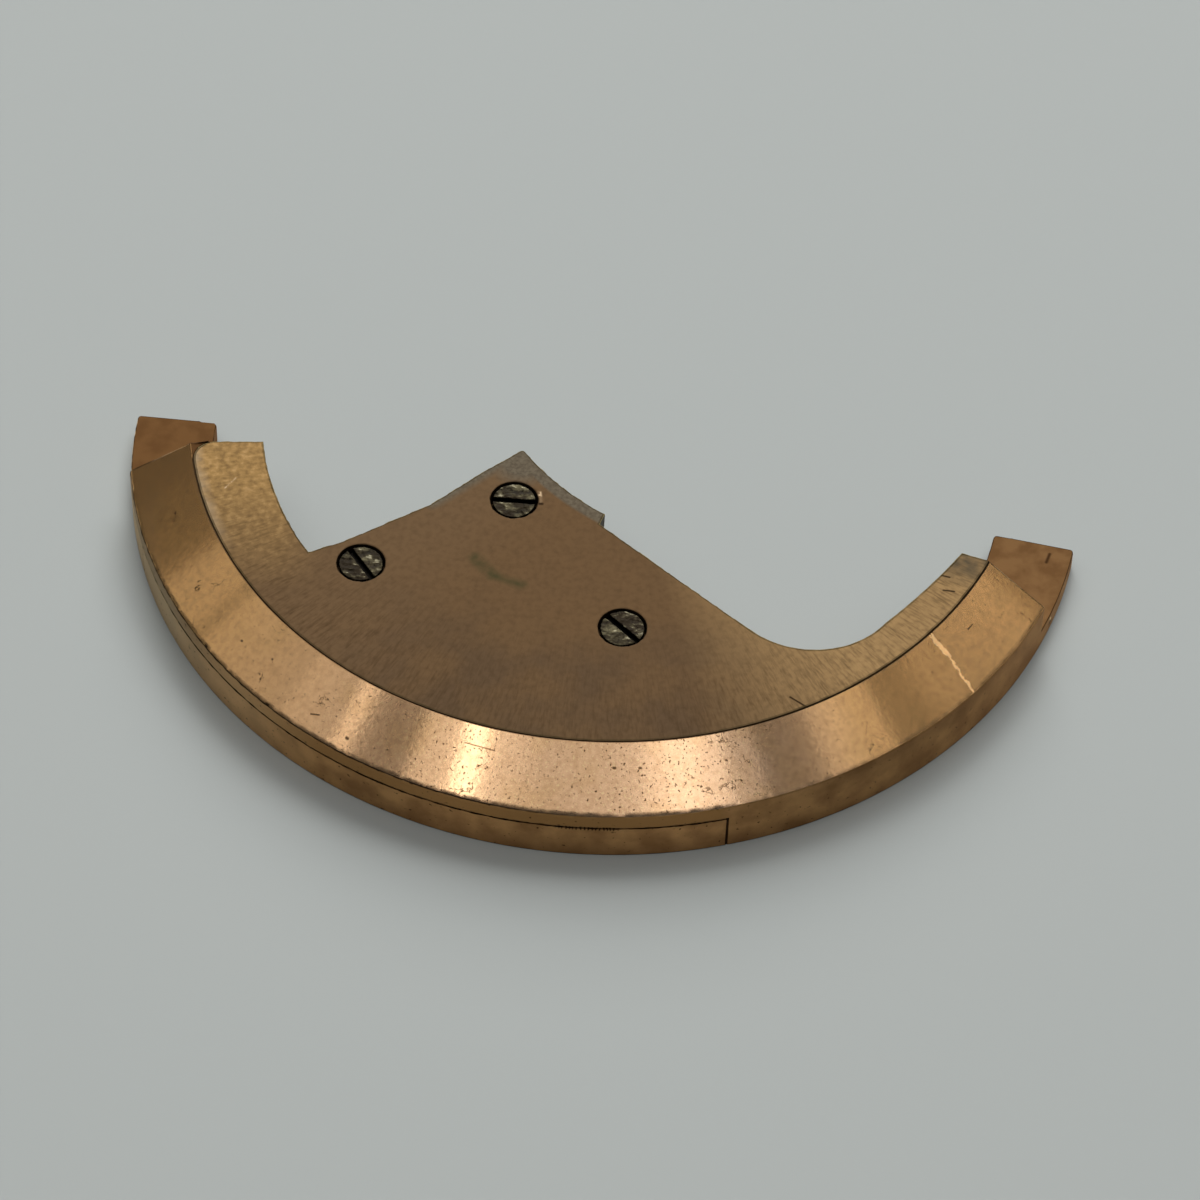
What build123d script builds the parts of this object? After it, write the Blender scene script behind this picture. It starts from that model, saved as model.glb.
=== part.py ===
from build123d import *
import math
import os

# Oscillating weight of a hammer-type automatic watch. All sizes are in millimetres.
# The origin is on the axis that the weight swings about, level with its underside.

# Heavy rim
swing_radius = 13.0
rim_inner_radius = 10.8
rim_height = 2.58
outer_wall_height = 1.61
lip_radius = 11.3
block_start = 187.8
block_end = 334.9

# Low stops at both ends of the rim
stop_height = 0.62
stop_start = 174.9
stop_end = 348.4
stop_corner = 0.12

# Arc of metal let into the underside of the rim
insert_start = 197.8
insert_end = 285.3
insert_height = 1.11

# Web plate
web_thickness = 0.55
web_radius = 11.27
left_arm_radius = 9.37
left_arm_angle = 187.5
left_arm_middle_angle = 201.0
left_arm_inner = (-9.25, -1.39)
left_arm_corner = 0.6
left_bay_notch = (-7.79, -5.23)
left_edge_bends = [(-6.89, -4.81), (-4.67, -3.44), (-3.22, -2.14)]
web_tip = (-2.31, -1.43)
web_tip_rounding = 0.1
hub_relief_middle = (-1.39, -2.56)
step_high = (-0.01, -3.66)
step_low = (-0.11, -3.94)
right_bay_center = (5.5, -5.6)
right_bay_radius = 2.4
right_edge_slope = -40.4
right_arm_slope = 53.0
right_arm_middle = (8.53, -5.80)
right_arm_inner = (9.5, -4.52)
right_arm_angle = 335.0

# Slotted screws: name, centre and direction of the slot
web_screws = [
    ("left_screw", (-6.387, -5.563), -56.0),
    ("tip_screw", (-2.429, -3.193), -3.0),
    ("right_screw", (0.561, -7.480), -45.0),
]
head_radius = 0.58
head_height = 0.33
head_edge = 0.05
slot_width = 0.17
slot_depth = 0.16
thread_radius = 0.35
counterbore_radius = 0.625
counterbore_depth = 0.35
screw_hole_radius = 0.4

# Backing plate under the web, which the screws are tapped into
backing_thickness = 0.75
backing_lug_radius = 0.85
tapped_hole_radius = 0.36

ledge_height = rim_height - web_thickness
backing_bottom = ledge_height - backing_thickness
head_bottom = rim_height - counterbore_depth


def polar(radius, degrees, center=(0, 0)):
    """Point at a radius and an angle about a centre."""
    angle = math.radians(degrees)
    return (center[0] + radius * math.cos(angle), center[1] + radius * math.sin(angle))


def section(degrees):
    """Plane through the swing axis, with x along the radius and y up."""
    east, north = polar(1, degrees)
    return Plane(origin=(0, 0, 0), x_dir=(east, north, 0), z_dir=(north, -east, 0))


def rim_rectangle(height):
    """Rectangle over the whole width of the rim, from the underside up to a height."""
    with Locations(((rim_inner_radius + swing_radius) / 2, height / 2)):
        Rectangle(swing_radius - rim_inner_radius, height)


os.makedirs("parts", exist_ok=True)

# Bevelled crescent with a ledge for the web plate, and a low stop beyond each end
with BuildPart() as rim_weight:
    with BuildSketch(section(stop_start)):
        rim_rectangle(stop_height)
    revolve(axis=Axis.Z, revolution_arc=stop_end - stop_start)
    stop_corners = rim_weight.edges().filter_by(Axis.Z)
    fillet(stop_corners, radius=stop_corner)
    with BuildSketch(section(block_start)):
        with BuildLine():
            Polyline(
                (rim_inner_radius, 0),
                (swing_radius, 0),
                (swing_radius, outer_wall_height),
                (lip_radius, rim_height),
                (lip_radius, ledge_height),
                (rim_inner_radius, ledge_height),
                close=True,
            )
        make_face()
    revolve(axis=Axis.Z, revolution_arc=block_end - block_start)
    with BuildSketch(section(insert_start)):
        rim_rectangle(insert_height)
    revolve(axis=Axis.Z, revolution_arc=insert_end - insert_start, mode=Mode.SUBTRACT)
rim_weight.part.label = "rim_weight"
export_step(rim_weight.part, "parts/rim_weight.step")

# Arc block that fills the pocket in the underside of the rim
with BuildPart() as rim_insert:
    with BuildSketch(section(insert_start)):
        rim_rectangle(insert_height)
    revolve(axis=Axis.Z, revolution_arc=insert_end - insert_start)
rim_insert.part.label = "rim_insert"
export_step(rim_insert.part, "parts/rim_insert.step")

# Thin plate with an arm along each half of the rim and a wedge that points at the hub
with BuildPart() as web_plate:
    with BuildSketch(Plane.XY.offset(ledge_height)):
        with BuildLine():
            left_corner = polar(web_radius, left_arm_angle)
            right_corner = polar(web_radius, right_arm_angle)
            outer_middle = polar(web_radius, (left_arm_angle + right_arm_angle) / 2)
            bay_middle_slope = (right_edge_slope + right_arm_slope) / 2
            bay_right = polar(right_bay_radius, right_arm_slope - 90, right_bay_center)
            bay_middle = polar(right_bay_radius, bay_middle_slope - 90, right_bay_center)
            bay_left = polar(right_bay_radius, right_edge_slope - 90, right_bay_center)
            left_arm_middle = polar(left_arm_radius, left_arm_middle_angle)
            ThreePointArc(left_corner, outer_middle, right_corner)
            Line(right_corner, right_arm_inner)
            ThreePointArc(right_arm_inner, right_arm_middle, bay_right)
            ThreePointArc(bay_right, bay_middle, bay_left)
            Polyline(bay_left, step_low, step_high)
            ThreePointArc(step_high, hub_relief_middle, web_tip)
            Polyline(web_tip, *reversed(left_edge_bends), left_bay_notch)
            ThreePointArc(left_bay_notch, left_arm_middle, left_arm_inner)
            Line(left_arm_inner, left_corner)
        make_face()
    extrude(amount=web_thickness)
    upright = web_plate.edges().filter_by(Axis.Z)
    fillet(upright.sort_by_distance((*left_corner, ledge_height))[0], radius=left_arm_corner)
    upright = web_plate.edges().filter_by(Axis.Z)
    fillet(upright.sort_by_distance((*web_tip, ledge_height))[0], radius=web_tip_rounding)
    with Locations(*[(*place, rim_height) for _, place, _ in web_screws]):
        CounterBoreHole(screw_hole_radius, counterbore_radius, counterbore_depth)
web_plate.part.label = "web_plate"
export_step(web_plate.part, "parts/web_plate.step")

# Three-lobed plate under the web with a tapped hole in each lobe
with BuildPart() as backing_plate:
    with BuildSketch(Plane.XY.offset(backing_bottom)):
        with Locations(*[place for _, place, _ in web_screws]):
            Circle(backing_lug_radius)
        make_hull()
    extrude(amount=backing_thickness)
    with Locations(*[(*place, ledge_height) for _, place, _ in web_screws]):
        Hole(tapped_hole_radius)
backing_plate.part.label = "backing_plate"
export_step(backing_plate.part, "parts/backing_plate.step")

# Cheese-head screws, flush with the web
for name, place, slot_direction in web_screws:
    with BuildPart() as screw:
        with BuildSketch(Plane.XY.offset(backing_bottom)):
            with Locations(place):
                Circle(thread_radius)
        extrude(amount=head_bottom - backing_bottom)
        with BuildSketch(Plane.XY.offset(head_bottom)):
            with Locations(place):
                Circle(head_radius)
        extrude(amount=head_height)
        chamfer(screw.edges().filter_by(GeomType.CIRCLE).group_by(Axis.Z)[-1], length=head_edge)
        with BuildSketch(Plane.XY.offset(head_bottom + head_height)):
            with Locations(place):
                Rectangle(3 * head_radius, slot_width, rotation=slot_direction)
        extrude(amount=-slot_depth, mode=Mode.SUBTRACT)
    screw.part.label = name
    export_step(screw.part, f"parts/{name}.step")
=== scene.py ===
import math

import bmesh
import bpy
from mathutils import Matrix, Quaternion, Vector


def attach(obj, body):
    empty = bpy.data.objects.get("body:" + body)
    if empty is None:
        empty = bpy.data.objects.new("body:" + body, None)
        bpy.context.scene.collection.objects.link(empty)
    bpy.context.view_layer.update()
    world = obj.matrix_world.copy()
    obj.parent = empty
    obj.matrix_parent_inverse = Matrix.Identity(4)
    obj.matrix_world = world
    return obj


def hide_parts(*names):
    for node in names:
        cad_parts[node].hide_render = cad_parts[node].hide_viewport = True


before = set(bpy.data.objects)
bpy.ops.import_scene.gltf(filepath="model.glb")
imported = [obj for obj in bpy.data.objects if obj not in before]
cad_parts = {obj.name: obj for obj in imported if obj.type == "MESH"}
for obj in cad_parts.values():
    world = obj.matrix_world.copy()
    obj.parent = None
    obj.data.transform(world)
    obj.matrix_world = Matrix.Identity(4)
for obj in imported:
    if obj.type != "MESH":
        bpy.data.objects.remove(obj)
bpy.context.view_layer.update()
mm = 0.001

# Camera
# The part lies flat and is seen from the front, well above the table, with a long lens close by. The
# camera is tilted a little, as a hand holds it.
camera_distance = 134.5 * mm
camera_elevation = math.radians(48.76)
camera_roll = math.radians(1.89)
camera_target = Vector((-0.05, -4.43, 0.0)) * mm
to_camera = Vector((0, -math.cos(camera_elevation), math.sin(camera_elevation)))
bpy.ops.object.camera_add(location=to_camera * camera_distance)
camera = bpy.context.object
camera.name = "camera"
camera.data.sensor_width = 36
camera.data.lens = 146.55
camera.data.clip_start = 1 * mm
camera.data.clip_end = 10
camera.rotation_mode = "QUATERNION"
aim = (camera_target - camera.location).to_track_quat("-Z", "Y")
camera.rotation_quaternion = aim @ Quaternion((0, 0, 1), camera_roll)
bpy.context.scene.camera = camera
bpy.context.scene.view_settings.view_transform = "Standard"

# Rim weight
# A heavy crescent of gilt copper alloy. Its bevel is turned and satin polished, its ends are milled down
# to low stops, and a pocket in its underside takes the insert. The web plate lies on its inner ledge.
swing_radius = 13.0 * mm
rim_inner_radius = 10.8 * mm
rim_height = 2.58 * mm
outer_wall_height = 1.61 * mm
lip_radius = 11.3 * mm
ledge_height = 2.03 * mm
block_start = 187.8
block_end = 334.9
stop_height = 0.62 * mm
stop_start = 174.9
stop_end = 348.4
stop_corner = 0.12 * mm
insert_start = 197.8
insert_end = 285.3
insert_height = 1.11 * mm
rim_rounding = 0.03 * mm
rounding_segments = 2
sharp_angle = math.radians(30)
smooth_angle = math.radians(50)
row_margin = 0.07 * mm
turning_step = 0.25
wear_depth = 0.03 * mm
rim_wear_size = 0.22 * mm
clear_of_table = 0.1 * mm
knocked_side = 3.5 * mm
sheltered_wear = 0.35
guarded_width = 0.15 * mm
recess_corner = Vector((-10.483, -2.042, 0)) * mm
recess_corner_radius = 0.608 * mm
recess_corner_turn = 3.0
wide_flat = 0.12 * mm * mm
hair = 1e-7
same_plane = 1e-3 * mm
same_angle = 0.01
wear_contrast = 1.6
round_sides = 96
same_area = 1e-3
enlarged = 1024


def polar(radius, degrees, height=0.0):
    """Point at a radius, an angle and a height about the swing axis."""
    angle = math.radians(degrees)
    return Vector((radius * math.cos(angle), radius * math.sin(angle), height))


def angle_of(point):
    """Angle of a point about the swing axis, from 0 to 360 degrees."""
    return math.degrees(math.atan2(point.y, point.x)) % 360


def pick(piece, kind, wanted):
    """Selects in edit mode only the vertices, edges or faces of a piece that wanted() accepts."""
    bpy.ops.mesh.select_mode(type=kind)
    bpy.ops.mesh.select_all(action="DESELECT")
    shape = bmesh.from_edit_mesh(piece.data)
    for item in {"VERT": shape.verts, "EDGE": shape.edges, "FACE": shape.faces}[kind]:
        if wanted(item):
            item.select_set(True)
    shape.select_flush_mode()
    bmesh.update_edit_mesh(piece.data)


def middle(item):
    """Middle of an edge."""
    return (item.verts[0].co + item.verts[1].co) / 2


def cut(point, normal, **keep):
    """Cuts all of the piece in edit mode along a plane."""
    bpy.ops.mesh.select_all(action="SELECT")
    bpy.ops.mesh.bisect(plane_co=point, plane_no=normal, threshold=hair, **keep)


def start_profile(name, inner, outer, height, degrees):
    """Adds an upright rectangle across the rim at an angle, and cuts rows beside its edges."""
    bpy.ops.object.select_all(action="DESELECT")
    bpy.ops.mesh.primitive_plane_add(
        size=1,
        location=polar((inner + outer) / 2, degrees, height / 2),
        rotation=(math.radians(90), 0, math.radians(degrees)),
    )
    piece = bpy.context.object
    piece.name = piece.data.name = name
    piece.scale = (outer - inner, height, 1)
    bpy.ops.object.transform_apply(location=True, rotation=True, scale=True)
    bpy.ops.object.mode_set(mode="EDIT")
    return piece


def cut_rows(heights, radii, degrees):
    """Cuts the profile beside each of its own edges, so that wear at an edge stays there."""
    for height in heights:
        for row in (height - row_margin, height, height + row_margin):
            cut((0, 0, row), (0, 0, 1))
    for radius in radii:
        for row in (radius - row_margin, radius, radius + row_margin):
            cut(polar(row, degrees), polar(1, degrees))


def spin(degrees):
    """Turns what is selected about the swing axis, leaving walls behind it. The operator turns clockwise."""
    steps = max(1, round(abs(degrees) / turning_step))
    bpy.ops.mesh.spin(
        steps=steps, angle=-math.radians(degrees), center=(0, 0, 0), axis=(0, 0, 1), use_auto_merge=False
    )


def tidy_shell():
    """Merges doubles and turns every face outwards, then leaves edit mode."""
    bpy.ops.mesh.select_all(action="SELECT")
    bpy.ops.mesh.remove_doubles(threshold=hair)
    bpy.ops.mesh.normals_make_consistent(inside=False)
    bpy.ops.object.mode_set(mode="OBJECT")


def take(piece):
    """Selects one piece and nothing else."""
    bpy.ops.object.select_all(action="DESELECT")
    piece.select_set(True)
    bpy.context.view_layer.objects.active = piece


def apply(piece, kind, **settings):
    """Adds a modifier with its settings and applies it."""
    take(piece)
    modifier = piece.modifiers.new(kind.lower(), kind)
    for name, value in settings.items():
        setattr(modifier, name, value)
    bpy.ops.object.modifier_apply(modifier=modifier.name)


def round_edges(piece, width):
    """Rounds every sharp edge. An attribute marks the rounding, and a vertex group the part that is worn."""
    for _ in range(2):
        piece.data.materials.append(None)
    apply(
        piece,
        "BEVEL",
        width=width,
        segments=rounding_segments,
        limit_method="ANGLE",
        angle_limit=sharp_angle,
        use_clamp_overlap=False,
        material=1,
    )
    mark = piece.data.attributes.new("rounding", "FLOAT", "CORNER")
    group = piece.vertex_groups.new(name="rounding")
    for face in piece.data.polygons:
        if face.material_index == 1:
            guarded = abs(face.center.to_2d().length - lip_radius) < guarded_width
            share = 1.0 if face.center.x < knocked_side else sheltered_wear
            if face.center.z > clear_of_table and not guarded:
                group.add(list(face.vertices), share, "REPLACE")
            for corner in face.loop_indices:
                mark.data[corner].value = 1.0
        face.material_index = 0
    for face in piece.data.polygons:
        if face.area > wide_flat:
            group.remove(list(face.vertices))
    piece.data.materials.clear()


def wear_edges(piece, size):
    """Knocks the rounded edges in, with marks of about a size."""
    marks = bpy.data.textures.new(piece.name + "_wear", "CLOUDS")
    marks.noise_scale = size
    marks.noise_depth = 2
    marks.contrast = wear_contrast
    apply(
        piece,
        "DISPLACE",
        texture=marks,
        texture_coords="LOCAL",
        strength=wear_depth,
        mid_level=1.0,
        vertex_group="rounding",
    )


def smooth(piece):
    """Shades the roundings and the turned walls smooth, and keeps the flats flat.

    The weighting passes over faces that are too small for it, so the mesh is enlarged for that step.
    """
    take(piece)
    bpy.ops.object.shade_smooth_by_angle(angle=smooth_angle)
    piece.data.transform(Matrix.Scale(enlarged, 4))
    apply(piece, "WEIGHTED_NORMAL", weight=100, keep_sharp=True, thresh=same_area)
    piece.data.transform(Matrix.Scale(1 / enlarged, 4))


def hand_over(piece, node, finish):
    """Puts the piece in the place of its plain node, with its finish."""
    piece.data.materials.clear()
    piece.data.materials.append(finish)
    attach(piece, "root")
    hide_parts(node)


rim = start_profile("rim_weight_gilt", rim_inner_radius, swing_radius, rim_height, block_start)
cut_rows(
    (0, stop_height, insert_height, outer_wall_height, ledge_height, rim_height),
    (rim_inner_radius, lip_radius, swing_radius),
    block_start,
)
bevel_run = swing_radius - lip_radius
bevel_drop = rim_height - outer_wall_height
bevel_slope = math.atan2(bevel_drop, bevel_run)
bevel_normal = polar(math.sin(bevel_slope), block_start, math.cos(bevel_slope))
cut(polar(lip_radius, block_start, rim_height), bevel_normal, clear_outer=True)
for share in (row_margin / bevel_run, 1 - row_margin / bevel_run):
    cut(polar(lip_radius + share * bevel_run, block_start), polar(1, block_start))
pick(
    rim,
    "FACE",
    lambda face: face.calc_center_median().to_2d().length < lip_radius
    and face.calc_center_median().z > ledge_height,
)
bpy.ops.mesh.delete(type="FACE")
bpy.ops.mesh.select_all(action="SELECT")
spin(insert_start - block_start)
spin(insert_end - insert_start)
spin(block_end - insert_end)
for cap, stop in ((block_start, stop_start), (block_end, stop_end)):
    cap_direction = polar(1, cap + 90)
    pick(
        rim,
        "FACE",
        lambda face: abs(face.calc_center_median().dot(cap_direction)) < same_plane
        and face.calc_center_median().z < stop_height
        and abs(angle_of(face.calc_center_median()) - cap) < 1,
    )
    spin(stop - cap)


def in_pocket(face):
    """Faces of the block that the pocket for the insert takes away."""
    place = face.calc_center_median()
    return insert_start < angle_of(place) < insert_end and place.z < insert_height


pick(rim, "FACE", in_pocket)
bpy.ops.mesh.delete(type="FACE")
pick(
    rim,
    "EDGE",
    lambda edge: edge.is_boundary
    and all(abs(v.co.z - insert_height) < hair for v in edge.verts)
    and insert_start < angle_of(middle(edge)) < insert_end,
)
bpy.ops.mesh.bridge_edge_loops()
for wall in (insert_start, insert_end):
    pick(
        rim,
        "EDGE",
        lambda edge: edge.is_boundary and all(abs(angle_of(v.co) - wall) < same_angle for v in edge.verts),
    )
    bpy.ops.mesh.edge_face_add()
tidy_shell()
filling = start_profile("filling", rim_inner_radius, lip_radius, rim_height, block_start)
cut((0, 0, ledge_height - row_margin), (0, 0, 1), clear_inner=True)
bpy.ops.mesh.select_all(action="SELECT")
spin(recess_corner_turn)
tidy_shell()
bpy.ops.mesh.primitive_cylinder_add(
    vertices=round_sides,
    radius=recess_corner_radius,
    depth=rim_height,
    location=recess_corner + Vector((0, 0, rim_height)),
)
recess_cutter = bpy.context.object
bpy.ops.object.transform_apply(location=True)
apply(filling, "BOOLEAN", operation="DIFFERENCE", solver="EXACT", object=recess_cutter)
apply(rim, "BOOLEAN", operation="UNION", solver="EXACT", object=filling)
for helper in (recess_cutter, filling):
    bpy.data.objects.remove(helper)
bpy.ops.object.mode_set(mode="EDIT")
tidy_shell()


def round_stop_corner(piece, degrees, radius, inward):
    """Moves the vertices at a stop's upright corner onto its rounding."""
    for vertex in piece.data.vertices:
        reach = vertex.co.to_2d().length
        off_wall = (radius - reach) * inward
        off_end = reach * math.sin(math.radians(abs(angle_of(vertex.co) - degrees)))
        x, y = stop_corner - off_wall, stop_corner - off_end
        if x > 0 and y > 0 and math.hypot(x, y) > stop_corner and off_end < stop_corner:
            share = stop_corner / math.hypot(x, y)
            new_reach = radius - inward * (stop_corner - x * share)
            turn = math.degrees(math.asin((stop_corner - y * share) / new_reach))
            sense = 1 if degrees < 270 else -1
            vertex.co = polar(new_reach, degrees + sense * turn, vertex.co.z)


for end in (stop_start, stop_end):
    round_stop_corner(rim, end, swing_radius, 1)
    round_stop_corner(rim, end, rim_inner_radius, -1)
round_edges(rim, rim_rounding)
wear_edges(rim, rim_wear_size)
for vertex in rim.data.vertices:
    vertex.co.z = min(vertex.co.z, rim_height)
smooth(rim)


def linear(colour):
    """sRGB hex colour as linear red, green, blue and alpha."""
    parts = [int(colour[i : i + 2], 16) / 255 for i in (1, 3, 5)]
    return [c / 12.92 if c <= 0.04045 else ((c + 0.055) / 1.055) ** 2.4 for c in parts] + [1.0]


def add(finish, kind, values=None, stops=(), **settings):
    """Adds a shader node with its settings, values, links and colour stops, and returns its first output.

    A Mix node here always mixes colours.
    """
    node = finish.node_tree.nodes.new("ShaderNode" + kind)
    if kind == "Mix":
        node.data_type = "RGBA"
    for name, value in settings.items():
        setattr(node, name, value)
    for name, value in (values or {}).items():
        if isinstance(value, bpy.types.NodeSocket):
            finish.node_tree.links.new(value, node.inputs[name])
        else:
            node.inputs[name].default_value = linear(value) if isinstance(value, str) else value
    for number, (position, colour) in enumerate(stops):
        elements = node.color_ramp.elements
        element = elements[number] if number < 2 else elements.new(position)
        element.position = position
        element.color = linear(colour)
    shown = [output for output in node.outputs if output.enabled]
    return shown[0] if shown else node


def new_finish(name):
    """Adds a material with an empty node tree."""
    finish = bpy.data.materials.new(name)
    finish.use_nodes = True
    finish.node_tree.nodes.clear()
    return finish


def close_finish(finish, **inputs):
    """Adds the surface shader and the output."""
    names = {name.replace("_", " "): value for name, value in inputs.items()}
    shader = add(finish, "BsdfPrincipled", names)
    add(finish, "OutputMaterial", {"Surface": shader})


def close_lined(finish, colour, rough, place, bump, drawn=1.0, turn=0.25):
    """Closes a metal finish whose fine lines draw the highlights out across them.

    The lines run round the swing axis at a turn of 0.25, and along the radius at 0.
    """
    close_finish(
        finish,
        Base_Color=colour,
        Metallic=1.0,
        Roughness=rough,
        Anisotropic=drawn,
        Anisotropic_Rotation=turn,
        Tangent=add(finish, "VectorMath", {0: (0, 0, 1), 1: place}, operation="CROSS_PRODUCT"),
        Normal=bump,
    )


def place_in_mm(finish):
    """Place on the piece, in mm."""
    own = add(finish, "TexCoord").node.outputs["Object"]
    return add(finish, "VectorMath", {0: own, "Scale": 1 / mm}, operation="SCALE")


def measure(finish):
    """Place in mm, and about the swing axis: radius, arc at 12 mm from the front, height, and all three."""
    place = place_in_mm(finish)
    x, y, height = add(finish, "SeparateXYZ", {0: place}).node.outputs[:3]
    flat = add(finish, "CombineXYZ", {0: x, 1: y})
    radius = add(finish, "VectorMath", {0: flat}, operation="LENGTH").node.outputs["Value"]
    front = add(finish, "Math", {0: y, 1: -1.0}, operation="MULTIPLY")
    angle = add(finish, "Math", {0: x, 1: front}, operation="ARCTAN2")
    arc = add(finish, "Math", {0: angle, 1: 12.0}, operation="MULTIPLY")
    turned = add(finish, "CombineXYZ", {0: radius, 1: arc, 2: height})
    return place, radius, arc, height, turned


def tinted(finish, colour, tint, value, start, end, most=1.0):
    """Lays a tint over a colour, from nothing at one value to the most at another."""
    share = add(finish, "MapRange", {"Value": value, "From Min": start, "From Max": end, "To Max": most})
    return add(finish, "Mix", {0: share, 6: colour, 7: tint})


def tinted_where(finish, colour, tint, share, *masks):
    """Lays a tint over a colour where a share and all of some masks meet."""
    for mask in masks:
        share = add(finish, "Math", {0: share, 1: mask}, operation="MULTIPLY")
    return add(finish, "Mix", {0: share, 6: colour, 7: tint})


def scratch(finish, place, start, end, core, blur):
    """How far a place, in mm, lies on a straight mark with a sharp core and a blurred border."""
    way = Vector(end) - Vector(start)
    off = add(finish, "VectorMath", {0: place, 1: start}, operation="SUBTRACT")
    along = add(finish, "VectorMath", {0: off, 1: way / way.length_squared}, operation="DOT_PRODUCT")
    along = along.node.outputs["Value"]
    along = add(finish, "Math", {0: along, 1: 1.0}, operation="MULTIPLY", use_clamp=True)
    foot = add(finish, "VectorMath", {0: way, "Scale": along}, operation="SCALE")
    gap = add(finish, "VectorMath", {0: off, 1: foot}, operation="DISTANCE").node.outputs["Value"]
    return add(finish, "MapRange", {"Value": gap, "From Min": core + blur, "From Max": core})


def scratches(finish, place, strokes, mask=None):
    """How far a place lies on any of some straight marks, or on what a mask holds already."""
    for stroke in strokes:
        mark = scratch(finish, place, *stroke)
        mask = mark if mask is None else add(finish, "Math", {0: mask, 1: mark}, operation="MAXIMUM")
    return mask


def tarnished_wall(finish, arc, height, turned):
    """Colour of the turned outer wall: brown, greyer to the left, blotched, dark at its top edge, painted
    shade at its foot.
    """
    blotch = add(finish, "TexNoise", {"Vector": turned, "Scale": 1 / 0.8, "Detail": 4.0})
    colour = tinted(finish, "#d8a870", "#b08455", blotch, 0.36, 0.64)
    above = add(finish, "MapRange", {"Value": height, "From Min": 1.10, "From Max": 1.14})
    beside = add(finish, "MapRange", {"Value": arc, "From Min": 3.2, "From Max": 3.0})
    colour = tinted_where(finish, colour, "#bb8e59", above, beside)
    grey = add(finish, "Mix", {0: above, 6: "#cfbb97", 7: "#ab9a7c"})
    colour = tinted(finish, colour, grey, arc, -8.5, -13.0, 0.8)
    bare = add(finish, "Math", {0: arc, 1: 9.4}, operation="ADD")
    bare = add(finish, "Math", {0: bare}, operation="ABSOLUTE")
    colour = tinted(finish, colour, "#fdd49c", bare, 2.4, 0.6, 0.35)
    hood = add(finish, "MapRange", {"Value": height, "From Min": 0.7, "From Max": 1.4, "To Max": 0.45})
    share = add(finish, "MapRange", {"Value": arc, "From Min": 4.5, "From Max": 6.5})
    hood = add(finish, "Math", {0: hood, 1: share}, operation="MULTIPLY")
    share = add(finish, "MapRange", {"Value": arc, "From Min": 9.5, "From Max": 12.5, "To Max": 0.45})
    share = add(finish, "Math", {0: share, 1: hood}, operation="MAXIMUM")
    colour = add(finish, "Mix", {0: share, 6: colour, 7: "#7d5934"})
    # Painted shade: the wall is darker towards its foot, most at the front, beside the shadowed table.
    ways = add(finish, "Math", {0: arc}, operation="ABSOLUTE")
    limits = {"From Min": 3.5, "From Max": 7.0, "To Min": 0.45, "To Max": 0.1}
    ways = add(finish, "MapRange", {"Value": ways, **limits})
    foot = add(finish, "MapRange", {"Value": height, "From Min": 0.7, "From Max": 0.1})
    colour = tinted_where(finish, colour, "#7b5534", foot, ways)
    speck = add(finish, "TexNoise", {"Vector": turned, "Scale": 1 / 0.13, "Detail": 2.0})
    colour = tinted(finish, colour, "#513a21", speck, 0.66, 0.74)
    # The top edge of the wall is darker along a ragged line, most to the left.
    ragged = add(finish, "TexNoise", {"Vector": turned, "Scale": 1 / 0.22, "Detail": 3.0})
    limits = {"From Min": 0.3, "From Max": 0.7, "To Min": 1.62, "To Max": 1.55}
    edge = add(finish, "MapRange", {"Value": ragged, **limits})
    top_line_darkening = add(finish, "Math", {0: height, 1: edge}, operation="SUBTRACT")
    top_line_darkening = add(finish, "MapRange", {"Value": top_line_darkening, "From Max": 0.02})
    share = add(finish, "MapRange", {"Value": arc, "From Min": 0.5, "From Max": -2.5, "To Min": 0.15})
    return tinted_where(finish, colour, "#33261a", share, top_line_darkening)


# Satin copper gilding: turning lines too close to see draw every highlight out across the bevel. Age has
# left it orange at the ends, paler in the middle, and dull brown on the stops and walls. Grit has pitted
# it with specks of about 0.1 mm and drawn hair scratches.
gilt = new_finish("satin_copper_gilding")
place, radius, arc, height, turned = measure(gilt)
along = add(gilt, "MapRange", {"Value": arc, "From Min": -18.0, "From Max": 18.0})
tone = [(0.0, "#f1b976"), (0.18, "#f4bf7d"), (0.3, "#f0c190")]
tone += [(0.62, "#f0c69e"), (0.7, "#f4bf7f"), (1.0, "#f1b976")]
colour = add(gilt, "ValToRGB", {0: along}, tone)
stain = add(gilt, "TexNoise", {"Vector": turned, "Scale": 1 / 1.3, "Detail": 4.0})
colour = tinted(gilt, colour, "#dcaf73", stain, 0.5, 0.66, 0.35)
mottle = add(gilt, "TexNoise", {"Vector": turned, "Scale": 1 / 0.15, "Detail": 3.0})
colour = tinted(gilt, colour, "#bd8d60", mottle, 0.4, 0.72, 0.36)
left_worn = add(gilt, "MapRange", {"Value": arc, "From Min": -9.0, "From Max": -5.5})
right_worn = add(gilt, "MapRange", {"Value": arc, "From Min": 6.5, "From Max": 4.0})
worn = add(gilt, "Math", {0: left_worn, 1: right_worn}, operation="MULTIPLY")
limit = add(gilt, "MapRange", {"Value": worn, "To Min": 0.7, "To Max": 0.645})
speck = add(gilt, "TexNoise", {"Vector": turned, "Scale": 1 / 0.07, "Detail": 2.0})
dot = add(gilt, "Math", {0: speck, 1: limit}, operation="SUBTRACT")
pit = add(gilt, "MapRange", {"Value": dot, "From Max": 0.04})
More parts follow.
